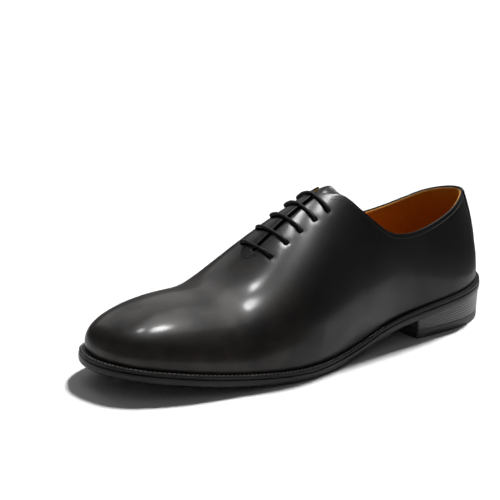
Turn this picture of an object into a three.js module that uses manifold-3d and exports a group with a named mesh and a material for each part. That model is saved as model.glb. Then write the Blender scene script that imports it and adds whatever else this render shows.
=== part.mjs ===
// A black leather oxford for the left foot, in millimetres.
// +Y points to the toe, +X to the inner side of the foot and +Z up; the shoe stands on z = 0.
import * as THREE from "three";
import Module from "manifold-3d";

const wasm = await Module();
wasm.setup();

// Driving sizes
const soleLength = 302;
const ballWidth = 100;
const heelLift = 19.1;
const toeSpring = 10.7;
const instepHeight = 100;
const collarHeight = 82;
const leatherWall = 2;
const clearance = 0.3;

// Sole, welt and heel
const weltThickness = 2.2;
const outsoleThickness = 4.2;
const weltWidth = 3.8;
const weltRecess = 0.35;
const weltUnder = 6;
const soleEdgeRound = 0.5;
const insoleThickness = 2.6;
const insoleMargin = 0.5;
const heelLength = 79.5;
const heelInset = 0.6;
const topPieceThickness = 5.5;
const heelLifts = 6;
const liftGroove = 0.4;

// Throat, tongue, laces and back strip
const slitWidth = 2.4;
const slitFront = 0.626;
const tongueThickness = 2.2;
const tongueGap = 0.6;
const tongueFront = 0.655;
const tongueBack = 0.418;
const tongueHalfWidth = 24;
const tongueCorner = 16;
const tongueTopFlat = 4;
const tongueRowEase = 1.4;
const eyeletRadius = 2;
const laceRadius = 1.3;
const laceBend = 1.9;
const laceDip = 1.3;
const laceRise = 0.25;
const laceSteps = [-0.63, -0.37, 0, 0.37, 0.63];
const punchReach = 3;
const eyeletSpread = 13.4;
const eyeletRows = [0.4745, 0.5076, 0.5437, 0.5785, 0.6162];
const stripWidth = 15;
const stripThickness = 1;
const stripFoot = 0.04;

// Fineness of the faceted solids
const quarterStations = 18;
const throatStations = 12;
const vampStations = 20;
const wallRows = 12;
const soleStations = 36;
const heelStations = 15;
const laceSides = 8;
const eyeletSides = 14;
const tongueStations = 14;
const tongueColumns = 10;
const stripStations = 10;
const stripColumns = 6;
const bendAngles = [0, 30, 60, 90];

// The last, a row for each rib from the middle of the heel to the middle of the toe.
// along: share of soleLength; outer, inner, ridgeAcross, flareOut, flareIn: shares of ballWidth;
// lift, spring: shares of heelLift and toeSpring; margin: share of weltWidth; ridge: share of instepHeight.
// rise, crown: where the two handles of the rib's curve lie; tilt: cross slope of the ridge.
const ribColumns = ["along", "outer", "inner", "lift", "spring", "margin", "ridgeAlong", "ridgeAcross", "ridge",
  "rise", "flareOut", "flareIn", "crown", "tilt"];
const ribTable = [
  [0.000, 0.000, 0.000, 1.000, 0.00, 0.74, 0.170, 0.000, 1.200, 0.32, 0.025, 0.025, 0.48, 0.00],
  [0.032, 0.186, 0.186, 0.953, 0.00, 0.74, 0.185, 0.000, 1.210, 0.32, 0.010, 0.015, 0.36, 0.00],
  [0.103, 0.298, 0.300, 0.874, 0.00, 0.74, 0.207, 0.000, 1.220, 0.32, 0.005, 0.010, 0.27, 0.00],
  [0.202, 0.334, 0.325, 0.743, 0.00, 0.74, 0.249, 0.000, 1.200, 0.34, 0.015, 0.025, 0.34, 0.00],
  [0.330, 0.342, 0.295, 0.492, 0.00, 0.70, 0.327, 0.000, 1.120, 0.38, 0.060, 0.105, 0.58, 0.12],
  [0.447, 0.400, 0.285, 0.120, 0.00, 0.70, 0.422, 0.010, 0.995, 0.46, 0.080, 0.135, 0.59, 0.24],
  [0.553, 0.482, 0.350, 0.000, 0.00, 0.90, 0.508, 0.015, 0.870, 0.55, 0.060, 0.100, 0.57, 0.27],
  [0.648, 0.512, 0.455, 0.000, 0.03, 1.00, 0.603, 0.025, 0.690, 0.57, 0.040, 0.055, 0.57, 0.14],
  [0.746, 0.482, 0.485, 0.000, 0.25, 1.00, 0.697, 0.035, 0.512, 0.55, 0.030, 0.033, 0.59, 0.04],
  [0.841, 0.420, 0.455, 0.000, 0.55, 1.00, 0.788, 0.045, 0.471, 0.57, 0.030, 0.036, 0.61, 0.03],
  [0.926, 0.310, 0.380, 0.000, 0.85, 1.00, 0.859, 0.050, 0.447, 0.59, 0.030, 0.040, 0.61, 0.02],
  [0.981, 0.160, 0.265, 0.000, 1.00, 1.00, 0.889, 0.050, 0.425, 0.60, 0.028, 0.036, 0.60, 0.00],
  [1.000, -0.065, 0.065, 0.000, 0.97, 1.00, 0.897, 0.050, 0.418, 0.59, 0.028, 0.028, 0.60, 0.00],
];

// The collar from the side; along: share of soleLength, height: share of collarHeight.
const collarTable = [
  [0.000, 1.000],
  [0.055, 1.000],
  [0.100, 0.966],
  [0.145, 0.912],
  [0.200, 0.860],
  [0.260, 0.827],
  [0.310, 0.833],
  [0.350, 0.873],
  [0.385, 0.965],
  [0.410, 1.055],
  [0.430, 1.140],
  [0.450, 1.150],
];

const leatherBlack = { color: 0x141212, roughness: 0.32, metalness: 0 };
const finishes = {
  upper: leatherBlack,
  back_strip: leatherBlack,
  tongue: leatherBlack,
  insole: { color: 0x9a5a22, roughness: 0.6, metalness: 0 },
  welt: { color: 0x0d0c0c, roughness: 0.45, metalness: 0 },
  outsole: { color: 0x0b0a0a, roughness: 0.4, metalness: 0 },
  heel: { color: 0x1a1817, roughness: 0.4, metalness: 0 },
  top_piece: { color: 0x0d0d0d, roughness: 0.7, metalness: 0 },
  lace: { color: 0x0a0a0a, roughness: 0.7, metalness: 0 },
};

// Curves
const toeTurn = ribTable.length - 1;
const turns = 2 * toeTurn;

function ribValue(row, name) {
  return ribTable[row][ribColumns.indexOf(name)];
}

function ridgeSlope(row) {
  const before = Math.max(row - 1, 0);
  const after = Math.min(row + 1, toeTurn);
  const climb = (ribValue(after, "ridge") - ribValue(before, "ridge")) * instepHeight;
  return climb / ((ribValue(after, "ridgeAlong") - ribValue(before, "ridgeAlong")) * soleLength);
}

// One closed round of values: the outer side from heel to toe, then the inner side back.
function roundOf(outerValue, innerValue) {
  const values = [];
  for (let row = 0; row <= toeTurn; row += 1) values.push(outerValue(row));
  for (let row = toeTurn - 1; row > 0; row -= 1) values.push(innerValue(row));
  return cageThrough(values);
}

// The cage of a closed cubic B-spline that passes through the given values.
function cageThrough(values) {
  const cage = values.slice();
  const count = values.length;
  for (let pass = 0; pass < 60; pass += 1) {
    for (let i = 0; i < count; i += 1) {
      cage[i] = (6 * values[i] - cage[(i + count - 1) % count] - cage[(i + 1) % count]) / 4;
    }
  }
  return cage;
}

function onRound(cage, turn) {
  const count = cage.length;
  const wrapped = ((turn % count) + count) % count;
  const i = Math.floor(wrapped);
  const f = wrapped - i;
  const weights = [
    (1 - f) ** 3 / 6,
    (3 * f ** 3 - 6 * f ** 2 + 4) / 6,
    (-3 * f ** 3 + 3 * f ** 2 + 3 * f + 1) / 6,
    f ** 3 / 6,
  ];
  return weights.reduce((sum, weight, k) => sum + weight * cage[(i + k - 1 + count) % count], 0);
}

const same = (size, name) => roundOf((row) => size * ribValue(row, name), (row) => size * ribValue(row, name));
const rounds = {
  x: roundOf((row) => -ballWidth * ribValue(row, "outer"), (row) => ballWidth * ribValue(row, "inner")),
  y: same(soleLength, "along"),
  margin: same(weltWidth, "margin"),
  ridgeX: same(ballWidth, "ridgeAcross"),
  ridgeY: same(soleLength, "ridgeAlong"),
  ridgeZ: same(instepHeight, "ridge"),
  rise: same(1, "rise"),
  flare: roundOf((row) => ballWidth * ribValue(row, "flareOut"), (row) => ballWidth * ribValue(row, "flareIn")),
  crown: same(1, "crown"),
  tilt: same(1, "tilt"),
  slope: roundOf(ridgeSlope, ridgeSlope),
};

// The underside of the sole from the side, before it is worn flat on the floor.
const underTable = ribTable.map((_, row) => [
  ribValue(row, "along"),
  heelLift * ribValue(row, "lift") + toeSpring * ribValue(row, "spring"),
]);

// A smooth line through a table of pairs.
function alongTable(table, x) {
  const last = table.length - 1;
  if (x <= table[0][0]) return table[0][1];
  if (x >= table[last][0]) return table[last][1];
  const i = table.findIndex((row) => row[0] > x) - 1;
  const [x0, z0] = table[i];
  const [x1, z1] = table[i + 1];
  const before = table[Math.max(i - 1, 0)];
  const after = table[Math.min(i + 2, last)];
  const s0 = (z1 - before[1]) / (x1 - before[0]);
  const s1 = (after[1] - z0) / (after[0] - x0);
  const f = (x - x0) / (x1 - x0);
  const span = x1 - x0;
  return z0 * (2 * f ** 3 - 3 * f ** 2 + 1) + s0 * span * (f ** 3 - 2 * f ** 2 + f)
    + z1 * (3 * f ** 2 - 2 * f ** 3) + s1 * span * (f ** 3 - f ** 2);
}

const collarLine = (y) => collarHeight * alongTable(collarTable, y / soleLength);

// The sole's outline at a turn, moved inward by an inset; z is the underside of the sole.
function outline(turn, inset) {
  const step = 0.01;
  const dx = onRound(rounds.x, turn + step) - onRound(rounds.x, turn - step);
  const dy = onRound(rounds.y, turn + step) - onRound(rounds.y, turn - step);
  const size = Math.hypot(dx, dy);
  const x = onRound(rounds.x, turn) + (inset * dy) / size;
  const y = onRound(rounds.y, turn) - (inset * dx) / size;
  return new THREE.Vector3(x, y, alongTable(underTable, y / soleLength));
}

const seatHeight = outsoleThickness + clearance + weltThickness;
const ridgePoint = (turn) => new THREE.Vector3(
  onRound(rounds.ridgeX, turn), onRound(rounds.ridgeY, turn), onRound(rounds.ridgeZ, turn));

// The outside of the upper: share 0 is the feather line on the welt, share 1 the ridge.
function lastPoint(turn, share) {
  const foot = outline(turn, onRound(rounds.margin, turn));
  foot.z += seatHeight + clearance;
  const edge = outline(turn, 0);
  const outward = new THREE.Vector3(edge.x - foot.x, edge.y - foot.y, 0).normalize();
  const ridge = ridgePoint(turn);
  const side = foot.clone().addScaledVector(outward, onRound(rounds.flare, turn));
  side.z += onRound(rounds.rise, turn) * (ridge.z - foot.z);
  const reach = new THREE.Vector3(foot.x - ridge.x, foot.y - ridge.y, 0).multiplyScalar(onRound(rounds.crown, turn));
  const shoulder = ridge.clone().add(reach);
  shoulder.z += onRound(rounds.slope, turn) * reach.y + onRound(rounds.tilt, turn) * reach.x;
  const back = 1 - share;
  return new THREE.Vector3()
    .addScaledVector(foot, back ** 3)
    .addScaledVector(side, 3 * share * back ** 2)
    .addScaledVector(shoulder, 3 * share ** 2 * back)
    .addScaledVector(ridge, share ** 3);
}

function lastNormal(turn, share) {
  if (share > 0.999) {
    return new THREE.Vector3(-onRound(rounds.tilt, turn), -onRound(rounds.slope, turn), 1).normalize();
  }
  const step = 0.004;
  const low = Math.max(share - step, 0);
  const round = lastPoint(turn + step, share).sub(lastPoint(turn - step, share));
  const rise = lastPoint(turn, share + step).sub(lastPoint(turn, low));
  return rise.cross(round).normalize();
}

const lifted = (turn, share, height) => lastPoint(turn, share).addScaledVector(lastNormal(turn, share), height);

// The first value between low and high where test turns true.
function firstWhere(low, high, test) {
  let below = low;
  let above = high;
  for (let pass = 0; pass < 40; pass += 1) {
    const middle = (below + above) / 2;
    if (test(middle)) above = middle;
    else below = middle;
  }
  return above;
}

const turnAtRidge = (share) => firstWhere(0, toeTurn, (turn) => onRound(rounds.ridgeY, turn) > share * soleLength);

function collarShare(turn) {
  const above = (share) => {
    const point = lastPoint(turn, share);
    return point.z > collarLine(point.y);
  };
  return above(1) ? firstWhere(0, 1, above) : 1;
}

function shareBesideRidge(turn, distance) {
  const ridge = ridgePoint(turn);
  return firstWhere(0, 1, (share) => {
    const point = lastPoint(turn, share);
    return Math.hypot(point.x - ridge.x, point.y - ridge.y) < distance;
  });
}

// Solids
class Skin {
  constructor() {
    this.points = [];
    this.faces = [];
    this.index = new Map();
  }

  point(p) {
    const key = [p.x, p.y, p.z].map((value) => Math.round(value * 1e4)).join(" ");
    if (!this.index.has(key)) {
      this.index.set(key, this.points.length);
      this.points.push(p);
    }
    return this.index.get(key);
  }

  triangle(a, b, c) {
    const face = [this.point(a), this.point(b), this.point(c)];
    if (new Set(face).size === 3) this.faces.push(face);
  }

  quad(a, b, c, d) {
    this.triangle(a, b, c);
    this.triangle(a, c, d);
  }

  // Quads between two rows of points of the same length.
  strip(lower, upper, closed) {
    const count = lower.length;
    for (let i = 0; i < (closed ? count : count - 1); i += 1) {
      const j = (i + 1) % count;
      this.quad(lower[i], lower[j], upper[j], upper[i]);
    }
  }

  solid() {
    const vertProperties = new Float32Array(this.points.flatMap((p) => [p.x, p.y, p.z]));
    const triVerts = new Uint32Array(this.faces.flat());
    return new wasm.Manifold(new wasm.Mesh({ numProp: 3, vertProperties, triVerts }));
  }
}

function geometryOf(solid) {
  const mesh = solid.getMesh();
  const geometry = new THREE.BufferGeometry();
  geometry.setAttribute("position", new THREE.BufferAttribute(mesh.vertProperties, 3));
  geometry.setIndex(new THREE.BufferAttribute(mesh.triVerts, 1));
  return geometry;
}

// Closes rings of points, from the lowest ring to the highest, with a ladder of faces at each end.
// Ring points i and count - i lie opposite each other.
function ringSolid(rings) {
  const skin = new Skin();
  for (let k = 0; k < rings.length - 1; k += 1) skin.strip(rings[k + 1], rings[k], true);
  const ladder = (ring, flip) => {
    const count = ring.length;
    for (let i = 0; i < count / 2; i += 1) {
      const corners = [ring[i], ring[i + 1], ring[(count - i - 1) % count], ring[(count - i) % count]];
      if (flip) corners.reverse();
      skin.quad(...corners);
    }
  };
  ladder(rings[0], false);
  ladder(rings[rings.length - 1], true);
  return skin.solid();
}

const spaced = (low, high, count) => Array.from({ length: count + 1 }, (_, i) => low + ((high - low) * i) / count);
const soleTurns = spaced(0, turns, 2 * soleStations).slice(0, -1);
const ringAt = (list, inset, height) => list.map((turn) => {
  const point = outline(turn, inset);
  point.z = height(point.z);
  return point;
});

// Upper
const throatTurn = firstWhere(0, toeTurn / 2 + 2, (turn) => collarShare(turn) === 1);
const slitTurn = turnAtRidge(slitFront);

function upperTurns() {
  const outer = [
    ...spaced(0, Math.PI / 2, quarterStations).map((angle) => throatTurn * Math.sin(angle)),
    ...spaced(throatTurn, slitTurn, throatStations).slice(1),
    ...spaced(slitTurn, toeTurn, vampStations).slice(1),
  ];
  const inner = outer.slice(1, -1).reverse().map((turn) => turns - turn);
  return [...outer, ...inner];
}

function topShare(turn) {
  const fromHeel = Math.min(turn, turns - turn);
  if (fromHeel >= slitTurn - 1e-9) return 1;
  return Math.min(collarShare(turn), shareBesideRidge(turn, slitWidth / 2));
}

function upperSolid() {
  const list = upperTurns();
  const tops = list.map(topShare);
  const outside = [];
  const inside = [];
  for (let row = 0; row <= wallRows; row += 1) {
    outside.push(list.map((turn, i) => lastPoint(turn, (tops[i] * row) / wallRows)));
    inside.push(list.map((turn, i) => lifted(turn, (tops[i] * row) / wallRows, -leatherWall)));
  }
  const skin = new Skin();
  for (let row = 0; row < wallRows; row += 1) {
    skin.strip(outside[row + 1], outside[row], true);
    skin.strip(inside[row], inside[row + 1], true);
  }
  skin.strip(outside[0], inside[0], true);
  for (let i = 0; i < list.length; i += 1) {
    const j = (i + 1) % list.length;
    if (tops[i] < 1 || tops[j] < 1) {
      skin.quad(inside[wallRows][i], inside[wallRows][j], outside[wallRows][j], outside[wallRows][i]);
    }
  }
  return eyelets().reduce((body, eyelet) => body.subtract(eyelet.punch), skin.solid());
}

// Each eyelet's centre on the upper, the way out of it and the solid that punches it.
function eyelets() {
  const found = [];
  for (const along of eyeletRows) {
    for (const side of [-1, 1]) {
      const seat = eyeletSeat(along, side);
      const ends = [punchReach, -leatherWall - punchReach];
      const path = ends.map((height) => seat.centre.clone().addScaledVector(seat.out, height));
      found.push({ ...seat, punch: tube(path, eyeletRadius, eyeletSides) });
    }
  }
  return found;
}

function eyeletSeat(along, side) {
  const onSide = (turn) => (side < 0 ? turn : turns - turn);
  const beside = (turn) => shareBesideRidge(onSide(turn), eyeletSpread);
  const turn = firstWhere(0, toeTurn, (value) => lastPoint(onSide(value), beside(value)).y > along * soleLength);
  const share = beside(turn);
  return { centre: lastPoint(onSide(turn), share), out: lastNormal(onSide(turn), share) };
}

// A round bar along a list of points.
function tube(path, radius, sides) {
  const rings = path.map((p, i) => {
    const ahead = path[Math.min(i + 1, path.length - 1)].clone().sub(path[Math.max(i - 1, 0)]).normalize();
    const across = new THREE.Vector3(0, 1, 0).cross(ahead).normalize();
    const up = ahead.clone().cross(across);
    return Array.from({ length: sides }, (_, k) => {
      const angle = (2 * Math.PI * k) / sides;
      return p.clone().addScaledVector(across, radius * Math.cos(angle)).addScaledVector(up, radius * Math.sin(angle));
    });
  });
  const skin = new Skin();
  for (let i = 0; i < rings.length - 1; i += 1) skin.strip(rings[i], rings[i + 1], true);
  for (let k = 0; k < sides; k += 1) {
    const next = (k + 1) % sides;
    skin.triangle(path[0], rings[0][next], rings[0][k]);
    skin.triangle(path[path.length - 1], rings[path.length - 1][k], rings[path.length - 1][next]);
  }
  return skin.solid();
}

// One bar of lace over the slit, its ends turned down into the eyelets.
function laceBar(along) {
  const left = eyeletSeat(along, -1);
  const right = eyeletSeat(along, 1);
  const height = laceRadius + clearance + laceRise;
  const half = (seat, mirrored) => {
    const inner = [];
    const across = new THREE.Vector3(mirrored ? -1 : 1, 0, 0);
    const level = across.clone().addScaledVector(seat.out, -across.dot(seat.out)).normalize();
    inner.push(seat.centre.clone().addScaledVector(seat.out, -laceDip));
    for (const angle of bendAngles) {
      const bend = (angle * Math.PI) / 180;
      inner.push(seat.centre.clone()
        .addScaledVector(seat.out, height - laceBend + laceBend * Math.sin(bend))
        .addScaledVector(level, laceBend * (1 - Math.cos(bend))));
    }
    return inner;
  };
  const leftEnd = half(left, false);
  const rightEnd = half(right, true);
  const middle = [];
  for (const step of laceSteps) {
    const reach = step * eyeletSpread;
    const turn = turnAtRidge(along);
    const at = reach <= 0 ? turn : turns - turn;
    const share = reach === 0 ? 1 : shareBesideRidge(at, Math.abs(reach));
    const y = left.centre.y + ((right.centre.y - left.centre.y) * (reach + eyeletSpread)) / (2 * eyeletSpread);
    const point = lifted(at, share, height);
    const ridge = ridgePoint(turn);
    const seat = lastPoint(at, share);
    point.y += y - seat.y;
    point.z += onRound(rounds.slope, turn) * (y - seat.y);
    point.x += ridge.x + reach - seat.x;
    middle.push(point);
  }
  return tube([...leftEnd, ...middle, ...rightEnd.reverse()], laceRadius, laceSides);
}

// A curved leaf between two heights over the last, from a grid of [turn, share] places.
function leafSolid(grid, low, high) {
  const upper = grid.map((row) => row.map(([turn, share]) => lifted(turn, share, high)));
  const lower = grid.map((row) => row.map(([turn, share]) => lifted(turn, share, low)));
  const skin = new Skin();
  const last = grid.length - 1;
  for (let i = 0; i < last; i += 1) {
    skin.strip(upper[i], upper[i + 1], false);
    skin.strip(lower[i + 1], lower[i], false);
  }
  skin.strip(lower[0], upper[0], false);
  skin.strip(upper[last], lower[last], false);
  const side = (rows, k) => rows.map((row) => row[k]);
  const end = grid[0].length - 1;
  skin.strip(side(upper, 0), side(lower, 0), false);
  skin.strip(side(lower, end), side(upper, end), false);
  return skin.solid();
}

function tongueSolid() {
  const rows = spaced(0, 1, tongueStations).map((f) => tongueBack + (tongueFront - tongueBack) * f ** tongueRowEase);
  const grid = rows.map((along) => {
    const fromTop = (along - tongueBack) * soleLength;
    const width = tongueHalfWidth * Math.sqrt(Math.min(1, (fromTop + tongueTopFlat) / tongueCorner));
    const turn = turnAtRidge(along);
    return spaced(-1, 1, tongueColumns).map((across) => {
      const at = across <= 0 ? turn : turns - turn;
      return [at, across === 0 ? 1 : shareBesideRidge(at, Math.abs(across) * width)];
    });
  });
  const under = -leatherWall - tongueGap;
  return leafSolid(grid, under - tongueThickness, under);
}

function backStripSolid() {
  const rows = spaced(stripFoot, 1, stripStations);
  const turnAcross = (share, across) => {
    const side = Math.abs(across) * (stripWidth / 2);
    const turn = firstWhere(0, 2, (value) => -lastPoint(value, share * collarShare(value)).x > side);
    return across <= 0 ? turn : -firstWhere(0, 2, (value) => lastPoint(-value, share * collarShare(-value)).x > side);
  };
  const grid = rows.map((share) => spaced(-1, 1, stripColumns).map((across) => {
    const turn = across === 0 ? 0 : turnAcross(share, across);
    return [turn, share * collarShare(turn)];
  }));
  return leafSolid(grid, clearance, clearance + stripThickness);
}

// Sole and heel
function weltSolid() {
  const skin = new Skin();
  const top = (z) => z + seatHeight;
  const bottom = (z) => z + seatHeight - weltThickness;
  const insets = soleTurns.map((turn) => onRound(rounds.margin, turn) + weltUnder);
  const inner = (height) => soleTurns.map((turn, i) => {
    const point = outline(turn, insets[i]);
    point.z = height(point.z);
    return point;
  });
  const loops = [ringAt(soleTurns, weltRecess, bottom), ringAt(soleTurns, weltRecess, top), inner(top), inner(bottom)];
  loops.forEach((loop, k) => skin.strip(loops[(k + 1) % loops.length], loop, true));
  return skin.solid();
}

function outsoleSolid() {
  const tread = (z) => Math.max(0, z);
  return ringSolid([
    ringAt(soleTurns, soleEdgeRound, tread),
    ringAt(soleTurns, 0, (z) => tread(z) + soleEdgeRound),
    ringAt(soleTurns, 0, (z) => z + outsoleThickness - soleEdgeRound),
    ringAt(soleTurns, soleEdgeRound, (z) => z + outsoleThickness),
  ]);
}

function insoleSolid() {
  const bottom = seatHeight + clearance;
  const ring = (height) => soleTurns.map((turn) => {
    const point = outline(turn, onRound(rounds.margin, turn) + leatherWall + insoleMargin);
    point.z += height;
    return point;
  });
  return ringSolid([ring(bottom), ring(bottom + insoleThickness)]);
}

const breastTurn = firstWhere(0, toeTurn, (turn) => outline(turn, 0).y > heelLength);
const heelTurns = [
  ...spaced(0, breastTurn, heelStations),
  ...spaced(turns - breastTurn, turns, heelStations).slice(0, -1),
];

// A ring of the heel's outline with a straight breast.
function heelRing(inset, height) {
  return ringAt(heelTurns, heelInset + inset, height).map((point, i) => {
    if (i === heelStations || i === heelStations + 1) point.y = heelLength;
    return point;
  });
}

function heelSolid() {
  const foot = topPieceThickness + clearance;
  const rings = spaced(0, 1, 2 * heelLifts).map((share, i) => {
    const inset = i % 2 === 0 ? liftGroove : 0;
    return heelRing(inset, (z) => foot + (z - clearance - foot) * share);
  });
  return ringSolid(rings);
}

function topPieceSolid() {
  return ringSolid([
    heelRing(liftGroove, () => 0),
    heelRing(0, () => liftGroove),
    heelRing(0, () => topPieceThickness),
  ]);
}

// Assembly
const shoe = new THREE.Group();

function add(name, solid, finish) {
  const mesh = new THREE.Mesh(geometryOf(solid), new THREE.MeshStandardMaterial(finish));
  mesh.name = name;
  shoe.add(mesh);
}

add("upper", upperSolid(), finishes.upper);
add("back_strip", backStripSolid(), finishes.back_strip);
add("tongue", tongueSolid(), finishes.tongue);
add("insole", insoleSolid(), finishes.insole);
add("welt", weltSolid(), finishes.welt);
add("outsole", outsoleSolid(), finishes.outsole);
add("heel", heelSolid(), finishes.heel);
add("top_piece", topPieceSolid(), finishes.top_piece);
eyeletRows.forEach((along, i) => add(`lace_bar_${i + 1}`, laceBar(along), finishes.lace));

// The origin is the middle of the shoe's box, on the floor.
const box = new THREE.Box3().setFromObject(shoe);
shoe.position.set(-(box.min.x + box.max.x) / 2, -(box.min.y + box.max.y) / 2, -box.min.z);

export default shoe;
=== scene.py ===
from math import cos, pi, radians, sin

import bmesh
import bpy
import numpy as np
from mathutils import Matrix, Vector


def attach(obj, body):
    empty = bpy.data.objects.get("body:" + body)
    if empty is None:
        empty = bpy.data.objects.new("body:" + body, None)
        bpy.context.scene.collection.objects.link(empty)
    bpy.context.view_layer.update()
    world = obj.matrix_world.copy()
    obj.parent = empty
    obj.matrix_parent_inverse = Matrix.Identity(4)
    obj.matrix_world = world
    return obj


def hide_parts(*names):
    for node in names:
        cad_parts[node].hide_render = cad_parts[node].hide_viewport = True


bl_info = {
    "name": "Leather oxford shoe",
    "version": (1, 0, 0),
    "blender": (4, 5, 0),
    "location": "View3D > Sidebar > Shoe",
    "description": "Dresses the packed oxford shoe in leather, thread, lace and studio light",
    "category": "Object",
}

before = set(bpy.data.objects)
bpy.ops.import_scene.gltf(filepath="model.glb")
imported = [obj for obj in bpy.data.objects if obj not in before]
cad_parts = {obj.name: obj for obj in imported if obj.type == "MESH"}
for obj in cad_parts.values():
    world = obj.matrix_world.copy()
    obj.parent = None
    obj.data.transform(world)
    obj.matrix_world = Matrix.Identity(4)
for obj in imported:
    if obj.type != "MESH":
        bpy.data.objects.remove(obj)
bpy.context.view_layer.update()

# Lengths below are in millimetres in the shoemaker's frame: heel at y = 0, toe along +Y, floor at z = 0.
MM = 0.001
SHIFT = np.array((1.35, -151.0, 0.0))

# Driving sizes, the same as the solids'
SOLE_LENGTH = 302
BALL_WIDTH = 100
HEEL_LIFT = 19.1
TOE_SPRING = 10.7
INSTEP_HEIGHT = 100
COLLAR_HEIGHT = 82
LEATHER_WALL = 2
CLEARANCE = 0.3
WELT_THICKNESS = 2.2
OUTSOLE_THICKNESS = 4.2
WELT_WIDTH = 3.8
WELT_RECESS = 0.35
WELT_UNDER = 6
INSOLE_THICKNESS = 2.6
INSOLE_MARGIN = 0.5
HEEL_LENGTH = 79.5
HEEL_INSET = 0.6
TOP_PIECE_THICKNESS = 5.5
HEEL_LIFTS = 6
LIFT_GROOVE = 0.3
SLIT_WIDTH = 2.4
SLIT_FRONT = 0.626
TONGUE_THICKNESS = 2.2
TONGUE_GAP = 0.6
TONGUE_FRONT = 0.655
TONGUE_SPREAD = 21
# Where the tongue's top edge lies: how far beside the ridge, and how far along it as a share of the sole
TONGUE_TOP = ((-21, -20, -17.8, -12.7, -6, 0, 8, 14, 19, 21),
              (0.430, 0.418, 0.411, 0.419, 0.427, 0.431, 0.433, 0.435, 0.441, 0.455))
EYELET_SPREAD = 13.4
EYELET_ROWS = (0.4745, 0.5076, 0.5437, 0.5785, 0.6162)
STRIP_WIDTH = 15
STRIP_THICKNESS = 1
STRIP_FOOT = 0.04

# The last, a row for each rib from the middle of the heel to the middle of the toe
RIB_COLUMNS = ("along", "outer", "inner", "lift", "spring", "margin", "ridgeAlong", "ridgeAcross",
               "ridge", "rise", "flareOut", "flareIn", "crown", "tilt")
RIB_TABLE = np.array((
    (0.000, 0.000, 0.000, 1.000, 0.00, 0.74, 0.170, 0.000, 1.200, 0.32, 0.025, 0.025, 0.48, 0.00),
    (0.032, 0.186, 0.186, 0.953, 0.00, 0.74, 0.185, 0.000, 1.210, 0.32, 0.010, 0.015, 0.36, 0.00),
    (0.103, 0.298, 0.300, 0.874, 0.00, 0.74, 0.207, 0.000, 1.220, 0.32, 0.005, 0.010, 0.27, 0.00),
    (0.202, 0.334, 0.325, 0.743, 0.00, 0.74, 0.249, 0.000, 1.200, 0.34, 0.015, 0.025, 0.34, 0.00),
    (0.330, 0.342, 0.295, 0.492, 0.00, 0.70, 0.327, 0.000, 1.120, 0.38, 0.060, 0.105, 0.58, 0.12),
    (0.447, 0.400, 0.285, 0.120, 0.00, 0.70, 0.422, 0.010, 0.995, 0.46, 0.080, 0.135, 0.59, 0.24),
    (0.553, 0.482, 0.350, 0.000, 0.00, 0.90, 0.508, 0.015, 0.870, 0.55, 0.060, 0.100, 0.57, 0.27),
    (0.648, 0.512, 0.455, 0.000, 0.03, 1.00, 0.603, 0.025, 0.690, 0.57, 0.040, 0.055, 0.57, 0.14),
    (0.746, 0.482, 0.485, 0.000, 0.25, 1.00, 0.697, 0.035, 0.512, 0.55, 0.030, 0.033, 0.59, 0.04),
    (0.841, 0.420, 0.455, 0.000, 0.55, 1.00, 0.788, 0.045, 0.471, 0.57, 0.030, 0.036, 0.61, 0.03),
    (0.926, 0.310, 0.380, 0.000, 0.85, 1.00, 0.859, 0.050, 0.447, 0.59, 0.030, 0.040, 0.61, 0.02),
    (0.981, 0.160, 0.265, 0.000, 1.00, 1.00, 0.889, 0.050, 0.425, 0.60, 0.028, 0.036, 0.60, 0.00),
    (1.000, -0.065, 0.065, 0.000, 0.97, 1.00, 0.897, 0.050, 0.418, 0.59, 0.028, 0.028, 0.60, 0.00),
))
COLLAR_TABLE = np.array((
    (0.000, 1.000), (0.055, 1.000), (0.100, 0.966), (0.145, 0.912), (0.200, 0.860), (0.260, 0.827),
    (0.310, 0.833), (0.350, 0.873), (0.385, 0.965), (0.410, 1.055), (0.430, 1.140), (0.450, 1.150),
))

# Leather layers of the upper, outside to inside
OUTER_LEATHER = 1.2
LINING_FROM_SLIT = 4
COUNTER_LEATHER = 0.5
RIM = OUTER_LEATHER / 2
EYELET_RADIUS = 1.8
EYELET_DIMPLE = 0.22
NEAR_CORNER = 0.035
FAR_CORNER = 0.008
LACE_RADIUS = 0.95
LACE_END_RADIUS = 1.3
LACE_BEND = 1.6

TOE_TURN = len(RIB_TABLE) - 1
TURNS = 2 * TOE_TURN


# Curves

def cage_through(values):
    """The cage of a closed cubic B-spline that passes through the values."""
    count = len(values)
    weights = np.zeros((count, count))
    for i in range(count):
        weights[i, i] = 4 / 6
        weights[i, i - 1] = weights[i, (i + 1) % count] = 1 / 6
    return np.linalg.solve(weights, np.array(values, float))


def on_round(cage, turn):
    """The spline's value at each turn."""
    count = len(cage)
    wrapped = np.asarray(turn, float) % count
    i = np.floor(wrapped).astype(int)
    f = wrapped - i
    weights = (
        (1 - f) ** 3 / 6,
        (3 * f**3 - 6 * f**2 + 4) / 6,
        (-3 * f**3 + 3 * f**2 + 3 * f + 1) / 6,
        f**3 / 6,
    )
    return sum(weight * cage[(i + k - 1) % count] for k, weight in enumerate(weights))


def rib(name):
    return RIB_TABLE[:, RIB_COLUMNS.index(name)]


def round_of(outer, inner):
    """A closed round: the outer side from heel to toe, then the inner side back."""
    return cage_through(np.concatenate([outer, inner[-2:0:-1]]))


def ridge_slope():
    rows = np.arange(TOE_TURN + 1)
    before, after = np.maximum(rows - 1, 0), np.minimum(rows + 1, TOE_TURN)
    climb = (rib("ridge")[after] - rib("ridge")[before]) * INSTEP_HEIGHT
    return climb / ((rib("ridgeAlong")[after] - rib("ridgeAlong")[before]) * SOLE_LENGTH)


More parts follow.
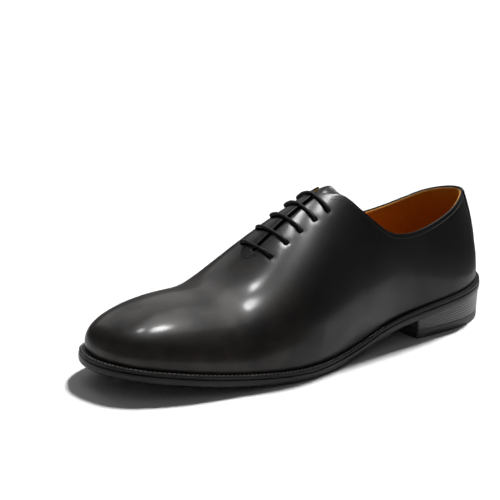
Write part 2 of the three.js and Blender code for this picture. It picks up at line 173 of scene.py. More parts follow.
ROUNDS = {
    "x": round_of(-BALL_WIDTH * rib("outer"), BALL_WIDTH * rib("inner")),
    "flare": round_of(BALL_WIDTH * rib("flareOut"), BALL_WIDTH * rib("flareIn")),
    "slope": round_of(ridge_slope(), ridge_slope()),
    **{key: round_of(size * rib(name), size * rib(name)) for key, size, name in (
        ("y", SOLE_LENGTH, "along"), ("margin", WELT_WIDTH, "margin"), ("ridge_x", BALL_WIDTH, "ridgeAcross"),
        ("ridge_y", SOLE_LENGTH, "ridgeAlong"), ("ridge_z", INSTEP_HEIGHT, "ridge"), ("rise", 1, "rise"),
        ("crown", 1, "crown"), ("tilt", 1, "tilt"))},
}
UNDER_TABLE = np.column_stack([rib("along"), HEEL_LIFT * rib("lift") + TOE_SPRING * rib("spring")])


def along_table(table, x):
    """A smooth line through a table of pairs."""
    xs, zs = table.T
    last = len(xs) - 1
    knots = np.arange(last + 1)
    before, after = np.maximum(knots - 1, 0), np.minimum(knots + 1, last)
    slopes = (zs[after] - zs[before]) / (xs[after] - xs[before])
    x = np.clip(x, xs[0], xs[-1])
    i = np.clip(np.searchsorted(xs, x, side="right") - 1, 0, last - 1)
    span = xs[i + 1] - xs[i]
    f = (x - xs[i]) / span
    return (zs[i] * (2 * f**3 - 3 * f**2 + 1) + slopes[i] * span * (f**3 - 2 * f**2 + f)
            + zs[i + 1] * (3 * f**2 - 2 * f**3) + slopes[i + 1] * span * (f**3 - f**2))


def under(y):
    """Height of the sole's underside before it is worn flat."""
    return along_table(UNDER_TABLE, np.asarray(y) / SOLE_LENGTH)


def collar_line(y):
    return COLLAR_HEIGHT * along_table(COLLAR_TABLE, np.asarray(y) / SOLE_LENGTH)


def stack(x, y, z):
    return np.stack(np.broadcast_arrays(x, y, z), axis=-1).astype(float)


def unit(vectors):
    return vectors / np.maximum(np.linalg.norm(vectors, axis=-1, keepdims=True), 1e-12)


def outline(turn, inset):
    """The sole's outline moved inward; z is the underside of the sole."""
    step = 0.01
    dx = on_round(ROUNDS["x"], turn + step) - on_round(ROUNDS["x"], turn - step)
    dy = on_round(ROUNDS["y"], turn + step) - on_round(ROUNDS["y"], turn - step)
    size = np.hypot(dx, dy)
    x = on_round(ROUNDS["x"], turn) + inset * dy / size
    y = on_round(ROUNDS["y"], turn) - inset * dx / size
    return stack(x, y, under(y))


SEAT_HEIGHT = OUTSOLE_THICKNESS + CLEARANCE + WELT_THICKNESS


def ridge_point(turn):
    return stack(*(on_round(ROUNDS[key], turn) for key in ("ridge_x", "ridge_y", "ridge_z")))


def last_point(turn, share):
    """The outside of the upper: share 0 is the feather line on the welt, share 1 the ridge."""
    turn, share = np.broadcast_arrays(np.asarray(turn, float), np.asarray(share, float))
    foot = outline(turn, on_round(ROUNDS["margin"], turn))
    foot[..., 2] += SEAT_HEIGHT + CLEARANCE
    outward = outline(turn, 0) - foot
    outward[..., 2] = 0
    ridge = ridge_point(turn)
    side = foot + unit(outward) * on_round(ROUNDS["flare"], turn)[..., None]
    side[..., 2] += on_round(ROUNDS["rise"], turn) * (ridge[..., 2] - foot[..., 2])
    reach = (foot - ridge) * on_round(ROUNDS["crown"], turn)[..., None]
    slope, tilt = on_round(ROUNDS["slope"], turn), on_round(ROUNDS["tilt"], turn)
    reach[..., 2] = slope * reach[..., 1] + tilt * reach[..., 0]
    shoulder = ridge + reach
    share = share[..., None]
    back = 1 - share
    return foot * back**3 + side * 3 * share * back**2 + shoulder * 3 * share**2 * back + ridge * share**3


def last_normal(turn, share):
    turn, share = np.broadcast_arrays(np.asarray(turn, float), np.asarray(share, float))
    step = 0.004
    around = last_point(turn + step, share) - last_point(turn - step, share)
    rise = last_point(turn, share + step) - last_point(turn, np.maximum(share - step, 0))
    normal = unit(np.cross(rise, around))
    top = unit(stack(-on_round(ROUNDS["tilt"], turn), -on_round(ROUNDS["slope"], turn), 1.0))
    return np.where(share[..., None] > 0.999, top, normal)


def lifted(turn, share, height):
    return last_point(turn, share) + last_normal(turn, share) * np.asarray(height)[..., None]


def first_where(low, high, test):
    """The first value between low and high where test turns true, for each element."""
    for _ in range(40):
        middle = (low + high) / 2
        hit = test(middle)
        low, high = np.where(hit, low, middle), np.where(hit, middle, high)
    return high


def turn_at_ridge(along):
    along = np.asarray(along, float)

    def past(turn):
        return on_round(ROUNDS["ridge_y"], turn) > along * SOLE_LENGTH

    return first_where(along * 0, along * 0 + TOE_TURN, past)


def collar_share(turn, lower=0.0):
    """The share where a rib meets the collar, or a line that much lower."""
    turn = np.asarray(turn, float)

    def above(share):
        point = last_point(turn, share)
        return point[..., 2] > collar_line(point[..., 1]) - lower

    return np.where(above(turn * 0 + 1), first_where(turn * 0, turn * 0 + 1, above), 1.0)


def share_beside_ridge(turn, distance):
    turn = np.asarray(turn, float)
    ridge = ridge_point(turn)

    def near(share):
        point = last_point(turn, share)
        return np.hypot(point[..., 0] - ridge[..., 0], point[..., 1] - ridge[..., 1]) < distance

    return first_where(turn * 0, turn * 0 + 1, near)


def below(x, y, turn, share, passes=14):
    """Turn and share of the place on the last straight below or above a point, from a first guess."""
    turn, share = np.array(turn, float), np.array(share, float)
    step = 1e-3
    for _ in range(passes):
        here = last_point(turn, share)
        by_turn = (last_point(turn + step, share) - last_point(turn - step, share)) / (2 * step)
        by_share = (last_point(turn, share + step) - last_point(turn, share - step)) / (2 * step)
        dx, dy = x - here[..., 0], y - here[..., 1]
        size = by_turn[..., 0] * by_share[..., 1] - by_turn[..., 1] * by_share[..., 0]
        size = np.where(np.abs(size) < 1e-6, 1e-6, size)
        turn += np.clip((dx * by_share[..., 1] - dy * by_share[..., 0]) / size, -0.2, 0.2)
        climb = (by_turn[..., 0] * dy - by_turn[..., 1] * dx) / size
        share = np.clip(share + np.clip(climb, -0.1, 0.1), 0, 1)
    return turn, share


SLIT_TURN = float(turn_at_ridge(SLIT_FRONT))


def slit_half_width(turn, extra):
    """Half the slit's width at a rib, with its round front end."""
    half = SLIT_WIDTH / 2 + extra
    ahead = SLIT_FRONT * SOLE_LENGTH - on_round(ROUNDS["ridge_y"], turn)
    return half * np.sqrt(1 - (1 - np.clip(ahead / half, 0, 1)) ** 2)


def top_share(turn, back, slit_back):
    """The share where a rib ends at the collar or the slit, held back from those edges."""
    turn = np.asarray(turn, float)
    from_heel = np.minimum(turn % TURNS, TURNS - turn % TURNS)
    slit = share_beside_ridge(turn, np.maximum(slit_half_width(turn, slit_back), 1e-6))
    collar = collar_share(turn, back)
    round_off = np.where(turn % TURNS < TOE_TURN, NEAR_CORNER, FAR_CORNER)
    blend = np.clip(0.5 + (slit - collar) / (2 * round_off), 0, 1)
    ends = slit + (collar - slit) * blend - round_off * blend * (1 - blend)
    return np.where(from_heel >= SLIT_TURN - 1e-9, 1.0, ends)


def corner_turn(back):
    """The turn where the collar meets the slit."""
    return float(first_where(np.array(2.0), np.array(SLIT_TURN), lambda turn: collar_share(turn, back)
                             > share_beside_ridge(turn, slit_half_width(turn, back))))


def shoe_turns(back, quarter, throat, vamp):
    """Turns round the shoe, closer together beside the throat; the last half mirrors the first."""
    corner = corner_turn(back)
    outer = np.concatenate([
        corner * np.sin(np.linspace(0, pi / 2, quarter + 1)) ** 0.9,
        np.linspace(corner, SLIT_TURN, throat + 1)[1:],
        np.linspace(SLIT_TURN, TOE_TURN, vamp + 1)[1:],
    ])
    return np.concatenate([outer, TURNS - outer[-2:0:-1]])


def ridge_place(along, reach):
    """Turn and share of the place beside the ridge; reach is negative on the outer side."""
    along, reach = np.broadcast_arrays(np.asarray(along, float), np.asarray(reach, float))
    turn = turn_at_ridge(along)
    turn = np.where(reach <= 0, turn, TURNS - turn)
    share = np.where(np.abs(reach) < 1e-6, 1.0, share_beside_ridge(turn, np.maximum(np.abs(reach), 1e-6)))
    return turn, share


def eyelet_seat(along, side):
    """The eyelet's centre on the upper and the way out of it."""
    def on_side(turn):
        return turn if side < 0 else TURNS - turn

    def past(turn):
        place = last_point(on_side(turn), share_beside_ridge(on_side(turn), EYELET_SPREAD))
        return place[..., 1] > along * SOLE_LENGTH

    turn = on_side(float(first_where(np.array(0.0), np.array(float(TOE_TURN)), past)))
    share = float(share_beside_ridge(turn, EYELET_SPREAD))
    return last_point(turn, share), last_normal(turn, share)


EYELETS = [[eyelet_seat(along, side) for side in (-1, 1)] for along in EYELET_ROWS]


# Meshes

class Skin:
    """Points and faces of one piece, gathered from grids, rings and caps."""

    def __init__(self):
        self.points, self.faces, self.count = [], [], 0

    def grid(self, points, round_first=False, round_second=False, flip=False):
        rows, columns = points.shape[:2]
        index = self.count + np.arange(rows * columns).reshape(rows, columns)
        self.points.append(points.reshape(-1, 3))
        self.count += rows * columns
        if round_first:
            index = np.vstack([index, index[:1]])
        if round_second:
            index = np.hstack([index, index[:, :1]])
        corners = (index[:-1, :-1], index[1:, :-1], index[1:, 1:], index[:-1, 1:])
        quads = np.stack(corners, axis=-1).reshape(-1, 4)
        self.faces.extend((quads[:, ::-1] if flip else quads).tolist())
        return index

    def cap(self, ring):
        self.points.append(ring)
        self.faces.append(list(range(self.count, self.count + len(ring))))
        self.count += len(ring)

    def mesh(self, name, merge=0.004):
        points = (np.concatenate(self.points) + SHIFT) * MM
        made = bpy.data.meshes.new(name)
        made.from_pydata(points.tolist(), [], self.faces)
        work = bmesh.new()
        work.from_mesh(made)
        bmesh.ops.remove_doubles(work, verts=work.verts, dist=merge * MM)
        bmesh.ops.dissolve_degenerate(work, edges=work.edges, dist=1e-7)
        bmesh.ops.recalc_face_normals(work, faces=work.faces)
        work.to_mesh(made)
        work.free()
        return made


def piece(name, made, material, replaces=(), sharp=40):
    """Makes a named piece of the shoe from a mesh, hangs it on the root body and hides the parts it replaces.
    """
    made.shade_smooth()
    made.set_sharp_from_angle(angle=radians(sharp))
    made.materials.append(material)
    shown = bpy.data.objects.new(name, made)
    bpy.context.scene.collection.objects.link(shown)
    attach(shown, "root")
    if replaces:
        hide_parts(*replaces)
    return shown


def pierce(made, radius):
    """Cuts a round hole at each eyelet through a closed shell and joins its two rims."""
    work = bmesh.new()
    work.from_mesh(made)
    reach = 6 * MM
    for seat, out in (eyelet for row in EYELETS for eyelet in row):
        centre, way = Vector((seat + SHIFT) * MM), Vector(out)

        def offset(vert):
            gap = vert.co - centre
            depth = gap.dot(way)
            return depth, gap - way * depth

        near = {vert: offset(vert) for vert in work.verts if (vert.co - centre).length < reach}
        core = [vert for vert, (depth, gap) in near.items() if gap.length < (radius - 0.3) * MM]
        doomed = {face for vert in core for face in vert.link_faces}
        bmesh.ops.delete(work, geom=list(doomed), context="FACES")
        rims = [edge for edge in work.edges
                if edge.is_boundary and (edge.verts[0].co - centre).length < reach]
        for vert in {vert for edge in rims for vert in edge.verts}:
            depth, gap = offset(vert)
            vert.co = centre + way * depth + gap.normalized() * radius * MM
        bmesh.ops.bridge_loops(work, edges=rims)
    bmesh.ops.recalc_face_normals(work, faces=work.faces)
    work.to_mesh(made)
    work.free()


def shell(back, slit_back, top_height, thickness, turns, rows, relief=None, rim_steps=6):
    """A closed skin over the last with a rolled edge at the collar and round the slit."""
    tops = top_share(turns, back, slit_back)
    shares = np.linspace(0, 1, rows + 1)[None, :] * tops[:, None]
    turn_grid = np.repeat(turns[:, None], rows + 1, axis=1)
    base, normal = last_point(turn_grid, shares), last_normal(turn_grid, shares)
    outside = base + normal * top_height
    if relief is not None:
        outside = outside + normal * relief(base)[..., None]
    inside = base + normal * (top_height - thickness)
    foot_drop = np.array((0, 0, -CLEARANCE))
    outside = np.concatenate([outside[:, :1] + foot_drop, outside], axis=1)
    inside = np.concatenate([inside[:, :1] + foot_drop, inside], axis=1)
    skin = Skin()
    skin.grid(outside, round_first=True)
    skin.grid(inside, round_first=True, flip=True)
    skin.grid(np.stack([outside[:, 0], inside[:, 0]], axis=1), round_first=True, flip=True)
    order = np.argsort((turns + TOE_TURN) % TURNS)
    from_heel = np.minimum(turns, TURNS - turns)
    order = order[from_heel[order] <= SLIT_TURN + 1e-9]
    edge, up = base[order, -1], normal[order, -1]
    along = unit(np.roll(edge, -1, axis=0) - np.roll(edge, 1, axis=0))
    beyond = unit(np.cross(along, up))
    above = last_point(turns[order], np.minimum(tops[order] + 1e-3, 1))
    to_top = above - last_point(turns[order], tops[order] - 1e-3)
    beyond *= np.sign((beyond * to_top).sum(-1, keepdims=True))
    half = thickness / 2
    angles = np.linspace(0, pi, rim_steps + 1)[None, :, None]
    rolled = (edge[:, None] + up[:, None] * (top_height - half)
              + half * (up[:, None] * np.cos(angles) + beyond[:, None] * np.sin(angles)))
    skin.grid(rolled)
    return skin


def leaf(turn, share, middle, thickness, edge_round):
    """A closed leaf over the last from a grid of places, thinned round its edge."""
    rows, columns = turn.shape
    base, normal = last_point(turn, share), last_normal(turn, share)
    first = np.linalg.norm(np.diff(base, axis=0), axis=-1)
    second = np.linalg.norm(np.diff(base, axis=1), axis=-1)
    down = np.concatenate([np.zeros((1, columns)), np.cumsum(first, axis=0)])
    over = np.concatenate([np.zeros((rows, 1)), np.cumsum(second, axis=1)], axis=1)
    edge = np.minimum.reduce([down, down[-1:] - down, over, over[:, -1:] - over])
    full = np.sqrt(1 - (1 - np.clip(edge / edge_round, 0, 1)) ** 2) * thickness / 2
    skin = Skin()
    skin.grid(base + normal * (middle + full)[..., None])
    skin.grid(base + normal * (middle - full)[..., None], flip=True)
    return skin


def lid(skin, ring, steps, height, flip):
    """Closes a ring with a grid from its outer half to its inner half."""
    half = len(ring) // 2
    shares = np.linspace(0, 1, steps)[None, :, None]
    far = ring[(-np.arange(half + 1)) % len(ring)]
    grid = ring[: half + 1][:, None] * (1 - shares) + far[:, None] * shares
    grid[..., 2] = height(under(grid[..., 1]))
    skin.grid(grid, flip=flip)


def edge_crowded(count, crowd, steps):
    """Values from 0 to 1, with extra ones within the first and last share called crowd."""
    ends = crowd * np.linspace(0, 1, steps + 1) ** 1.6
    return np.concatenate([ends[:-1], np.linspace(crowd, 1 - crowd, count + 1), (1 - ends[:-1])[::-1]])


def swept(profile, turns):
    """A bar round the sole's outline; each point of the profile gives its inset and its height."""
    rings = []
    for inset, height in profile:
        inset = inset(turns) if callable(inset) else inset
        points = outline(turns, inset)
        points[:, 2] = height(points[:, 2])
        rings.append(points)
    return np.stack(rings, axis=1)


def thread(path, up, pitch, length, width, height):
    """Stitches laid along a path, each a small rounded bar half sunk in the leather."""
    steps = np.linalg.norm(np.diff(path, axis=0), axis=-1)
    at = np.concatenate([[0], np.cumsum(steps)])
    places = np.arange(pitch / 2, at[-1] - pitch / 4, pitch)
    centre = np.stack([np.interp(places, at, path[:, k]) for k in range(3)], axis=-1)
    out = unit(np.stack([np.interp(places, at, up[:, k]) for k in range(3)], axis=-1))
    ahead = np.stack([np.interp(np.minimum(places + 0.4, at[-1]), at, path[:, k])
                      - np.interp(places - 0.4, at, path[:, k]) for k in range(3)], axis=-1)
    ahead = unit(ahead - out * (ahead * out).sum(-1, keepdims=True))
    across = np.cross(out, ahead)
    lengthwise = np.array((-0.5, -0.44, -0.3, 0, 0.3, 0.44, 0.5)) * length
    swell = np.array((0.05, 0.6, 0.92, 1, 0.92, 0.6, 0.05))
    angles = np.arange(6) * pi / 3
    ring = np.stack([np.cos(angles) * width / 2, np.sin(angles) * height], axis=-1)
    offsets = swell[:, None, None] * ring[None]
    points = (centre[:, None, None] + ahead[:, None, None] * lengthwise[None, :, None, None]
              + across[:, None, None] * offsets[None, ..., :1] + out[:, None, None] * offsets[None, ..., 1:])
    skin = Skin()
    for stitch in points:
        skin.grid(stitch, round_second=True)
        skin.cap(stitch[0])
        skin.cap(stitch[-1][::-1])
    return skin


def joined(skins):
    """One skin from several."""
    whole = Skin()
    for skin in skins:
        whole.faces.extend([[i + whole.count for i in face] for face in skin.faces])
        whole.points.extend(skin.points)
        whole.count += skin.count
    return whole


# Shader sums

class Wire:
    """A shader socket that sums can be written on."""

    def __init__(self, finish, socket):
        self.finish, self.socket = finish, socket

    def __add__(self, other):
        return self.finish.sum("ADD", self, other)

    def __radd__(self, other):
        return self.finish.sum("ADD", other, self)

    def __sub__(self, other):
        return self.finish.sum("SUBTRACT", self, other)

    def __rsub__(self, other):
        return self.finish.sum("SUBTRACT", other, self)

    def __mul__(self, other):
        return self.finish.sum("MULTIPLY", self, other)

    def __rmul__(self, other):
        return self.finish.sum("MULTIPLY", other, self)

    def __truediv__(self, other):
        return self.finish.sum("DIVIDE", self, other)

    def __rtruediv__(self, other):
        return self.finish.sum("DIVIDE", other, self)

    def __pow__(self, other):
        return self.finish.sum("POWER", self, other)


class Finish:
    """A material built from nodes round one shader; constants go straight on the shader's sockets."""

    def __init__(self, name, constants):
        self.material = bpy.data.materials.new(name)
        self.material.use_nodes = True
        self.tree = self.material.node_tree
        self.tree.nodes.clear()
        self.shader = self.tree.nodes.new("ShaderNodeBsdfPrincipled")
        output = self.tree.nodes.new("ShaderNodeOutputMaterial")
        self.tree.links.new(self.shader.outputs["BSDF"], output.inputs["Surface"])
        self.wear(constants)

    def feed(self, socket, value):
        if isinstance(value, Wire):
            self.tree.links.new(value.socket, socket)
        elif isinstance(value, tuple) and len(value) == 3 and socket.type == "RGBA":
            socket.default_value = (*value, 1)
        else:
            socket.default_value = value

    def node(self, kind, settings, values, output=0):
        """Any node: its settings are set first, then its sockets."""
        made = self.tree.nodes.new("ShaderNode" + kind)
        for key, value in settings.items():
            if key == "stops":
                ramp = made.color_ramp.elements
                while len(ramp) < len(value):
                    ramp.new(1)
                for stop, (place, colour) in zip(ramp, value):
                    stop.position, stop.color = place, (*colour, 1)
            else:
                setattr(made, key, value)
        for key, value in values.items():
            self.feed(made.inputs[key], value)
        return Wire(self, made.outputs[output])

    def sum(self, operation, first, second):
        return self.node("Math", {"operation": operation}, {0: first, 1: second})

    def wear(self, values):
        """Sets or links the shader's own sockets."""
        for key, value in values.items():
            self.feed(self.shader.inputs[key], value)

    def place(self):
        return self.node("TexCoord", {}, {}, "Object")

    def axis(self, name):
        return self.node("SeparateXYZ", {}, {0: self.place()}, name)

    def noise(self, size, detail=2, rough=0.5, stretch=(1, 1, 1)):
        """Soft noise whose spots are about size millimetres wide, around 0.5."""
        place = self.node("VectorMath", {"operation": "MULTIPLY"}, {0: self.place(), 1: stretch})
        values = {"Vector": place, "Scale": 1000 / size, "Detail": detail, "Roughness": rough}
        return self.node("TexNoise", {}, values)

    def cells(self, size, feature="F1", output="Distance"):
        values = {"Vector": self.place(), "Scale": 1000 / size}
        return self.node("TexVoronoi", {"feature": feature}, values, output)

    def ramp(self, value, low, high):
        """0 below low and 1 above high, smooth between."""
        return self.node("MapRange", {"interpolation_type": "SMOOTHSTEP"}, {0: value, 1: low, 2: high})

    def blend(self, factor, first, second):
        """A colour between two."""
        return self.node("Mix", {"data_type": "RGBA"}, {0: factor, 6: first, 7: second}, 2)

    def bump(self, height, distance, strength=1.0, below=None):
        """Relief of the given height in millimetres."""
        values = {"Height": height, "Distance": distance * MM, "Strength": strength}
        if below is not None:
            values["Normal"] = below
        return self.node("Bump", {}, values)


# The material's brown cast on the toe and vamp is partly burnish and partly painted sheen.
BLACK_CALF = "burnished black calf"


def black_calf():
    """Burnished black calf: soft gloss, fine grain and a faint brown cast on the toe and vamp, partly real
    burnish and partly a painted sheen where light falls.
    """
    look = bpy.context.scene.shoe_colours
    finish = Finish(BLACK_CALF, {
        "IOR": 1.5,
        "Specular IOR Level": 0.13,
        "Coat Roughness": 0.17,
        "Coat IOR": 1.5,
    })
    patchy = finish.noise(22, 3)
    # Brown cast growing towards the toe in patches: partly burnish, partly painted sheen on the lit toe and
    # vamp.
    burnish_and_sheen = finish.ramp(finish.axis("Y"), 0.0, 0.09) * finish.ramp(patchy, 0.25, 0.7)
    colour = finish.blend(burnish_and_sheen, tuple(look.calf), tuple(look.calf_burnish_sheen))
    pores = finish.ramp(finish.cells(0.8), 0.0, 0.55)
    hair = finish.noise(1.3, 4, 0.62)
    folds = finish.noise(6, 3, 0.55, (1, 1.6, 1))
    grain = finish.bump(folds, 0.12, 0.5)
    grain = finish.bump(hair, 0.09, 0.6, grain)
    grain = finish.bump(pores, 0.03, 0.6, grain)
    finish.wear({
        "Base Color": colour,
        "Roughness": look.calf_roughness + 0.12 * (hair - 0.5) + 0.10 * (patchy - 0.5),
        "Coat Weight": 0.15 + 0.18 * finish.ramp(patchy, 0.35, 0.7),
        "Normal": grain,
    })
    return finish.material


def mottled(name, constants, noise, colours, gloss, relief, pores=None):
    """A material whose colour, roughness and relief follow one soft noise, with pores over it where given."""
    finish = Finish(name, constants)
    mottle = finish.noise(*noise)
    roughness, swing = gloss
    normal = finish.bump(mottle, *relief) if relief else None
    if pores:
        size, depth, strength = pores
        normal = finish.bump(finish.ramp(finish.cells(size), 0, 0.5), depth, strength, normal)
    finish.wear({
        "Base Color": finish.blend(mottle, *colours),
        "Roughness": roughness + swing * (mottle - 0.5),
        "Normal": normal,
    })
    return finish.material


def tan_lining():
    """Vegetable-tanned lining, open-pored and a little uneven in colour."""
    look = bpy.context.scene.shoe_colours
    colours = tuple(look.lining), tuple(look.lining_shade)
    return mottled("tan lining leather", {"IOR": 1.45}, (12, 4, 0.6), colours, (0.55, 0.2), (0.2, 0.3),
                   (0.7, 0.03, 0.5))


def counter_leather():
    """The darker, smoother lining of the heel."""
    look = bpy.context.scene.shoe_colours
    finish = Finish("brown counter lining", {"IOR": 1.45})
    pores = finish.ramp(finish.cells(0.6), 0, 0.5)
    mottle = finish.noise(9, 4, 0.6)
    rubbed = finish.ramp(finish.noise(30, 2), 0.4, 0.7)
    colour = finish.blend(mottle, tuple(look.counter), tuple(0.72 * channel for channel in look.counter))
    finish.wear({
        "Base Color": colour,
        "Roughness": 0.48 + 0.2 * rubbed,
        "Normal": finish.bump(pores, 0.03, 0.5, finish.bump(mottle, 0.2, 0.3)),
    })
    return finish.material


def sock_leather():
    """The sock that covers the insole."""
    look = bpy.context.scene.shoe_colours
    colours = tuple(look.lining), tuple(look.lining_shade)
    return mottled("tan sock leather", {"IOR": 1.45}, (16, 4, 0.6), colours, (0.6, 0.2), None,
                   (0.8, 0.04, 0.5))


def edge_ink():
    """Edge ink on the welt, which was sanded, waxed and ironed."""
    colours = (0.005, 0.0046, 0.0046), (0.012, 0.011, 0.0105)
    constants = {"IOR": 1.5, "Specular IOR Level": 0.2}
    return mottled("inked welt", constants, (3, 3, 0.6), colours, (0.5, 0.16), (0.05, 0.5))


def lift_leather():
    """Stacked leather lifts, inked black, each with its own shade."""
    finish = Finish("stacked heel leather", {"IOR": 1.5, "Coat Roughness": 0.25})
    layers = finish.noise(9, 2, 0.5, (0.03, 0.03, 2.2))
    fibres = finish.noise(1.8, 2, 0.5)
    finish.wear({
        "Base Color": finish.blend(layers, (0.016, 0.0145, 0.016), (0.046, 0.041, 0.047)),
        "Roughness": 0.38 + 0.16 * (fibres - 0.5),
        "Coat Weight": 0.2 + 0.2 * layers,
        "Normal": finish.bump(fibres, 0.01, 0.2),
    })
    return finish.material


def rubber():
    """Hard black rubber."""
    colours = (0.008, 0.008, 0.008), (0.02, 0.02, 0.02)
    return mottled("hard black rubber", {"IOR": 1.5}, (2.2, 4, 0.7), colours, (0.55, 0.2), (0.05, 0.5))


def sole_leather():
    """The bend leather of the tread and its edge, inked black, with fine scuffs."""
    colours = (0.006, 0.0055, 0.006), (0.016, 0.0145, 0.015)
    constants = {"IOR": 1.5, "Specular IOR Level": 0.25}
    return mottled("inked sole leather", constants, (3, 5, 0.7), colours, (0.36, 0.12), (0.02, 0.3))


def waxed_lace():
    """A thin waxed lace with its round braid."""
    finish = Finish("waxed cotton lace", {"IOR": 1.45, "Specular IOR Level": 0.22})
    wound = finish.node("UVMap", {"uv_map": "lace"}, {})
    along = finish.node("SeparateXYZ", {}, {0: wound}, "X")
    round_it = finish.node("SeparateXYZ", {}, {0: wound}, "Y")
    one_way = finish.node("Math", {"operation": "SINE"}, {0: (along + 6 * round_it) * (2 * pi)})
    other_way = finish.node("Math", {"operation": "SINE"}, {0: (along - 6 * round_it) * (2 * pi)})
    plait = one_way * other_way
    fuzz = finish.noise(0.5, 3, 0.7)
    finish.wear({
        "Base Color": finish.blend(finish.ramp(plait, -1, 1), (0.004, 0.004, 0.004), (0.014, 0.013, 0.013)),
        "Roughness": 0.36 + 0.2 * (fuzz - 0.5),
        "Normal": finish.bump(plait, 0.10, 0.7, finish.bump(fuzz, 0.04, 0.5)),
    })
    return finish.material


def thread_finish(name, colour, roughness):
    """Twisted, waxed sewing thread."""
    colours = tuple(0.6 * channel for channel in colour), colour
    return mottled(name, {"IOR": 1.45}, (0.35, 2, 0.6), colours, (roughness, 0.2), (0.06, 0.6))


def studio_floor():
    """Matt white paper."""
    look = bpy.context.scene.shoe_stage
    finish = Finish("white paper floor", {"Specular IOR Level": 0.05})
    tooth = finish.noise(1.5, 3, 0.6)
    shade = look.floor_shade
    finish.wear({
        "Base Color": finish.blend(tooth, (shade,) * 3, (0.985 * shade,) * 3),
        "Roughness": 0.85 + 0.1 * (tooth - 0.5),
    })
    return finish.material


# Pieces

def worn_relief(points):
    """Soft dents and creases of the leather, in millimetres along its normal."""
    height = np.zeros(points.shape[:-1])
    for start, end, width, depth in CREASES:
        start, end = np.array(start, float), np.array(end, float)
        line = end - start
        share = np.clip(((points - start) @ line) / (line @ line), 0, 1)
        gap = np.linalg.norm(points - (start + share[..., None] * line), axis=-1)
        height -= depth * np.exp(-((gap / width) ** 2)) * np.sin(pi * np.clip(share, 0.08, 0.92))
    for seat, _ in (eyelet for row in EYELETS for eyelet in row):
        height -= EYELET_DIMPLE * np.exp(-((np.linalg.norm(points - seat, axis=-1) / 2.3) ** 2))
    return height


# Each crease: where it starts and ends in the shoemaker's frame, its width and its depth
CREASES = (
    ((-40, 196, 30), (-46, 172, 22), 7, 0.7),
)


def make_upper():
    turns = shoe_turns(RIM, 150, 84, 96)
    made = shell(RIM, RIM, 0.0, OUTER_LEATHER, turns, 62, worn_relief).mesh("upper_leather")
    pierce(made, EYELET_RADIUS)
    piece("upper_leather", made, black_calf(), ["upper"], 50)


def make_lining():
    turns = shoe_turns(RIM + 0.35, 110, 84, 50)
    top_height = -OUTER_LEATHER - 0.02
    thickness = LEATHER_WALL - OUTER_LEATHER - 0.02
    made = shell(RIM + 0.35, LINING_FROM_SLIT, top_height, thickness, turns, 42)
    made = made.mesh("lining")
    pierce(made, EYELET_RADIUS)
    piece("lining", made, tan_lining(), ["upper"], 50)


def make_counter_lining():
    rise = edge_crowded(30, 0.03, 3)
    around = edge_crowded(70, 0.008, 3) * 2 - 1
    seam = 4.75 - 0.55 * (1 - rise)
    turn = seam[:, None] * around[None, :]
    share = (0.03 + 0.97 * rise)[:, None] * collar_share(turn, RIM + 0.45)
    depth = LEATHER_WALL + 0.02 + COUNTER_LEATHER / 2
    made = leaf(turn, share, -depth, COUNTER_LEATHER, 0.3).mesh("counter_lining")
    piece("counter_lining", made, counter_leather())


def tongue_grid():
    """Places of the tongue; its top edge runs further back on the outer side."""
    fall = edge_crowded(48, 0.03, 6) ** 1.2
    reach = (edge_crowded(40, 0.05, 5) * 2 - 1) * TONGUE_SPREAD
    top = np.interp(reach, *TONGUE_TOP)
    rows = top[None, :] + (TONGUE_FRONT - top[None, :]) * fall[:, None]
    return ridge_place(rows, reach[None, :] * (1 - 0.1 * fall[:, None])), fall


def make_tongue():
    (turn, share), fall = tongue_grid()
    curl = np.exp(-((fall / 0.06) ** 2))[:, None]
    middle = -LEATHER_WALL - TONGUE_GAP - TONGUE_THICKNESS / 2 + 0.9 * curl
    made = leaf(turn, share, middle, TONGUE_THICKNESS, 1.1).mesh("tongue_leather")
    piece("tongue_leather", made, bpy.data.materials[BLACK_CALF], ["tongue"], 50)


def make_sock():
    turns = np.linspace(0, TURNS, 241)[:-1]
    bottom = SEAT_HEIGHT + CLEARANCE
    skin = Skin()
    margin = on_round(ROUNDS["margin"], turns) + LEATHER_WALL + INSOLE_MARGIN
    rings = []
    for inset, below_top in ((0.0, INSOLE_THICKNESS), (0.0, 0.8), (0.25, 0.2), (0.9, 0.0)):
        ring = outline(turns, margin + inset)
        ring[:, 2] += bottom + INSOLE_THICKNESS - below_top
        rings.append(ring)
    skin.grid(np.stack(rings, axis=1), round_first=True)
    lid(skin, rings[0], 13, lambda z: z + bottom, True)
    lid(skin, rings[-1], 13, lambda z: z + bottom + INSOLE_THICKNESS, False)
    piece("sock", skin.mesh("sock"), sock_leather(), ["insole"])


def strip_grid():
    rise = edge_crowded(46, 0.02, 4)
    across = edge_crowded(16, 0.08, 4) * 2 - 1
    share_of_collar = STRIP_FOOT + (1 - STRIP_FOOT) * rise
    near_heel = np.linspace(-2, 2, 161)
    collar = collar_share(near_heel, RIM)
    turn = np.zeros((len(rise), len(across)))
    for k, reach in enumerate(across * STRIP_WIDTH / 2):
        sign = -1 if reach > 0 else 1

        def past(value):
            at = sign * value
            point = last_point(at, share_of_collar * np.interp(at, near_heel, collar))
            return -sign * point[..., 0] > abs(reach)

        if abs(reach) > 1e-9:
            turn[:, k] = sign * first_where(np.zeros(len(rise)), np.full(len(rise), 2.0), past)
    share = share_of_collar[:, None] * collar_share(turn, RIM)
    return turn, share


def make_back_strip():
    turn, share = strip_grid()
    made = leaf(turn, share, STRIP_THICKNESS / 2, STRIP_THICKNESS, 0.7).mesh("back_strip_leather")
    piece("back_strip_leather", made, bpy.data.materials[BLACK_CALF], ["back_strip"], 50)


SOLE_TURNS = np.linspace(0, TURNS, 481)[:-1]


